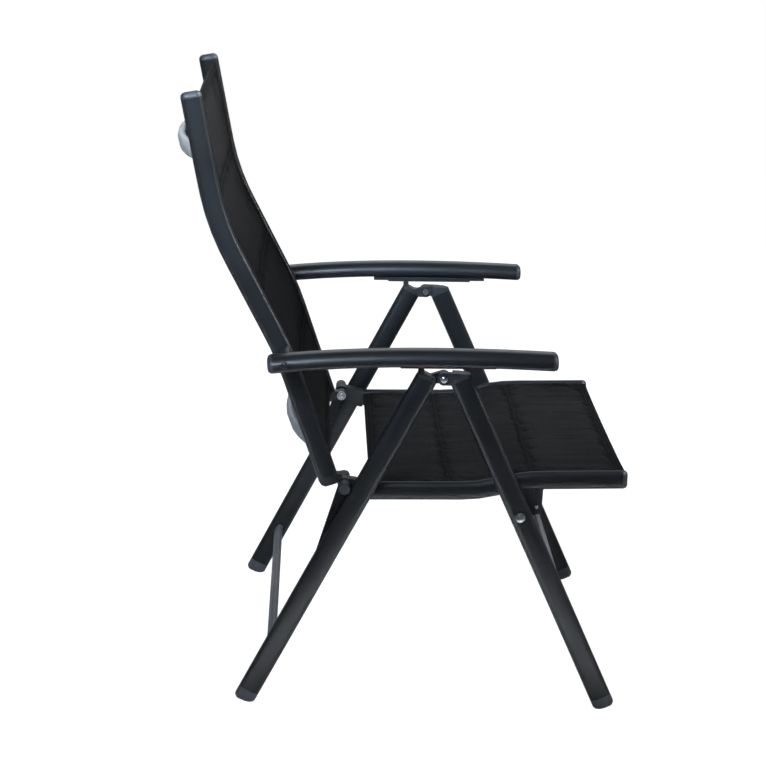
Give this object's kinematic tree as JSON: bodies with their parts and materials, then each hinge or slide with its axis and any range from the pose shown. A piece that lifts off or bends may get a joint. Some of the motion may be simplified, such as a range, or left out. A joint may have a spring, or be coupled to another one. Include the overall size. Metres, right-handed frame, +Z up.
{
  "type": "folding sling patio armchair",
  "caption": "High-back folding garden armchair with flat-oval tube frame, padded sling seat and back, and notched armrests that set the recline.",
  "frame": {"origin": "centre of the bounding box on the floor, chair open in the pictured recline notch", "axes": "+X to the chair's front, +Y to the sitter's left, +Z up"},
  "size_m": [0.7974, 0.6094, 1.0646],
  "materials": {
    "frame_paint": "satin anthracite powder coat",
    "bar_paint": "satin grey powder coat",
    "plastic": "fine moulded texture",
    "rack_plastic": "smooth moulded, reddish brown",
    "grey_plastic": "fine moulded texture",
    "bright_steel": "zinc-plated",
    "dark_steel": "black coated steel",
    "cloth": "padded coated-yarn weave, quilted"
  },
  "bodies": {
    "front_frame": {"front_leg_left": "frame_paint", "front_leg_right": "frame_paint", "front_foot_left": "plastic", "front_foot_right": "plastic", "front_hinge_plug_left": "plastic", "front_hinge_plug_right": "plastic", "front_stretcher": "bar_paint", "seat_pivot_bolt_left": "bright_steel", "seat_pivot_bolt_right": "bright_steel", "hinge_bolt_left": "dark_steel", "hinge_bolt_right": "dark_steel"},
    "rear_frame": {"rear_leg_left": "frame_paint", "rear_leg_right": "frame_paint", "rear_foot_left": "plastic", "rear_foot_right": "plastic", "rear_hinge_plug_left": "plastic", "rear_hinge_plug_right": "plastic", "rear_stretcher": "bar_paint"},
    "seat_frame": {"seat_tube_left": "frame_paint", "seat_tube_right": "frame_paint", "seat_front_cap_left": "plastic", "seat_front_cap_right": "plastic", "seat_rear_bracket_left": "rack_plastic", "seat_rear_bracket_right": "rack_plastic", "seat_pivot_bracket_left": "rack_plastic", "seat_pivot_bracket_right": "rack_plastic", "seat_crossbar_rear": "bar_paint", "seat_crossbar_front": "bar_paint", "seat_sling": "cloth"},
    "back_hinge_pins": {"back_hinge_bolt_left": "bright_steel", "back_hinge_bolt_right": "bright_steel", "hinge_roller_left": "plastic", "hinge_roller_right": "plastic"},
    "links": {"link_left": "dark_steel", "link_right": "dark_steel", "link_pin_left": "bright_steel", "link_pin_right": "bright_steel"},
    "back_frame": {"back_tube_left": "frame_paint", "back_tube_right": "frame_paint", "back_top_cap_left": "plastic", "back_top_cap_right": "plastic", "back_hinge_plug_left": "plastic", "back_hinge_plug_right": "plastic", "back_crossbar_lower": "bar_paint", "back_crossbar_upper": "bar_paint", "back_sling": "cloth"},
    "arm_rivet_left": {"arm_pivot_bolt_left": "bright_steel"},
    "arm_bush_left": {"arm_spacer_left": "plastic"},
    "armrest_left": {"arm_left": "frame_paint", "arm_front_cap_left": "plastic", "arm_rear_cap_left": "plastic", "arm_rack_left": "rack_plastic"},
    "arm_rivet_right": {"arm_pivot_bolt_right": "bright_steel"},
    "arm_bush_right": {"arm_spacer_right": "plastic"},
    "armrest_right": {"arm_right": "frame_paint", "arm_front_cap_right": "plastic", "arm_rear_cap_right": "plastic", "arm_rack_right": "rack_plastic"}
  },
  "joints": [
    {"name": "fold", "type": "hinge", "parent": "front_frame", "child": "rear_frame", "pos_m": [0.06188, 0, 0.613], "axis": [0, -1, 0], "range_deg": [0, 51.4]},
    {"name": "seat_pivot", "type": "hinge", "parent": "front_frame", "child": "seat_frame", "pos_m": [0.20542, 0, 0.36801], "axis": [0, -1, 0], "range_deg": [-0.5, 102.5]},
    {"name": "link_pivot", "type": "hinge", "parent": "seat_frame", "child": "links", "pos_m": [-0.09589, 0, 0.41038], "axis": [0, -1, 0], "range_deg": [-0.5, 97]},
    {"name": "back_fold", "type": "hinge", "parent": "seat_frame", "child": "back_hinge_pins", "pos_m": [-0.09589, 0, 0.41038], "axis": [0, -1, 0], "range_deg": [-98.5, 0.5]},
    {"name": "back_recline", "type": "hinge", "parent": "back_hinge_pins", "child": "back_frame", "pos_m": [-0.09589, 0, 0.41038], "axis": [0, -1, 0], "range_deg": [-6, 32]},
    {"name": "arm_lift_left", "type": "hinge", "parent": "back_frame", "child": "arm_rivet_left", "pos_m": [-0.20152, 0.278, 0.6385], "axis": [0, -1, 0], "range_deg": [0, 30]},
    {"name": "arm_follow_left", "type": "hinge", "parent": "arm_rivet_left", "child": "arm_bush_left", "pos_m": [-0.20152, 0.278, 0.6385], "axis": [0, -1, 0], "range_deg": [-17.5, 3.5]},
    {"name": "arm_fold_left", "type": "hinge", "parent": "arm_bush_left", "child": "armrest_left", "pos_m": [-0.20152, 0.278, 0.6385], "axis": [0, -1, 0], "range_deg": [-0.5, 121.5]},
    {"name": "arm_lift_right", "type": "hinge", "parent": "back_frame", "child": "arm_rivet_right", "pos_m": [-0.20152, -0.278, 0.6385], "axis": [0, -1, 0], "range_deg": [0, 30]},
    {"name": "arm_follow_right", "type": "hinge", "parent": "arm_rivet_right", "child": "arm_bush_right", "pos_m": [-0.20152, -0.278, 0.6385], "axis": [0, -1, 0], "range_deg": [-17.5, 3.5]},
    {"name": "arm_fold_right", "type": "hinge", "parent": "arm_bush_right", "child": "armrest_right", "pos_m": [-0.20152, -0.278, 0.6385], "axis": [0, -1, 0], "range_deg": [-0.5, 121.5]}
  ],
  "couplings": [
    {"joint": "seat_pivot", "follows": "fold", "ratio": 1.9844},
    {"joint": "link_pivot", "follows": "fold", "ratio": 1.8726},
    {"joint": "back_fold", "follows": "fold", "ratio": -1.9066},
    {"joint": "arm_fold_left", "follows": "fold", "ratio": 2.3541},
    {"joint": "arm_follow_left", "follows": "back_recline", "ratio": -0.54},
    {"joint": "arm_fold_right", "follows": "fold", "ratio": 2.3541},
    {"joint": "arm_follow_right", "follows": "back_recline", "ratio": -0.54}
  ]
}
